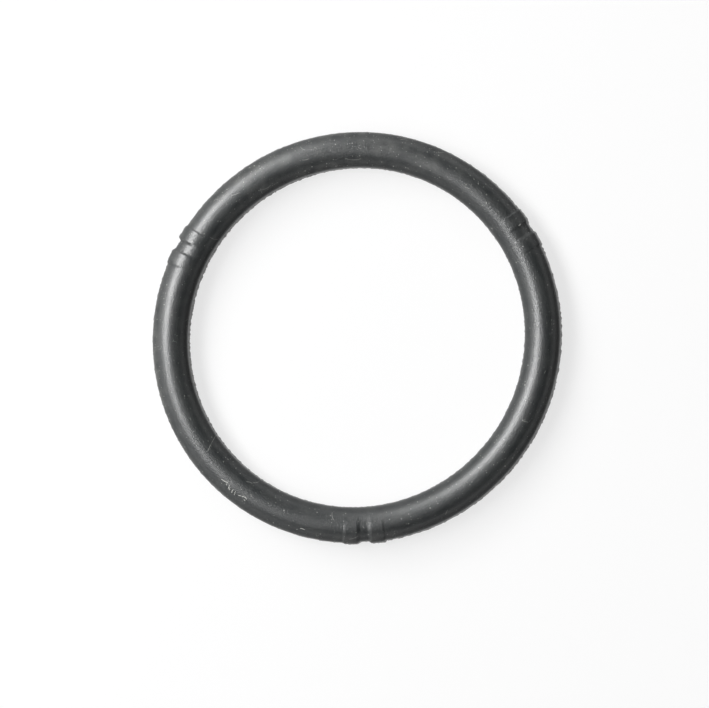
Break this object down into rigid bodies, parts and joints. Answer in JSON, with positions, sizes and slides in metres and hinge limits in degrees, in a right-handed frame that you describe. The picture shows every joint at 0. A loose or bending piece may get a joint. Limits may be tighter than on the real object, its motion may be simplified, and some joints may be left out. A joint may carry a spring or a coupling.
{
  "type": "o-ring",
  "caption": "Black rubber o-ring for a press fitting, with pads and notches round its outside that let water pass until the joint is pressed.",
  "frame": {"origin": "centre of the ring, halfway up its section, on the plane where the two halves of the mould met", "axes": "+Z along the axis of the pipe that goes through the ring; -Y out through the middle of one notch, with the other two notches at 30 and 150 degrees from +X"},
  "size_m": [0.0342, 0.0343, 0.003],
  "materials": {
    "rubber": "moulded black rubber, dry and satin, with light dust on it"
  },
  "bodies": {
    "root": {"sealing_ring": "rubber"}
  },
  "joints": []
}
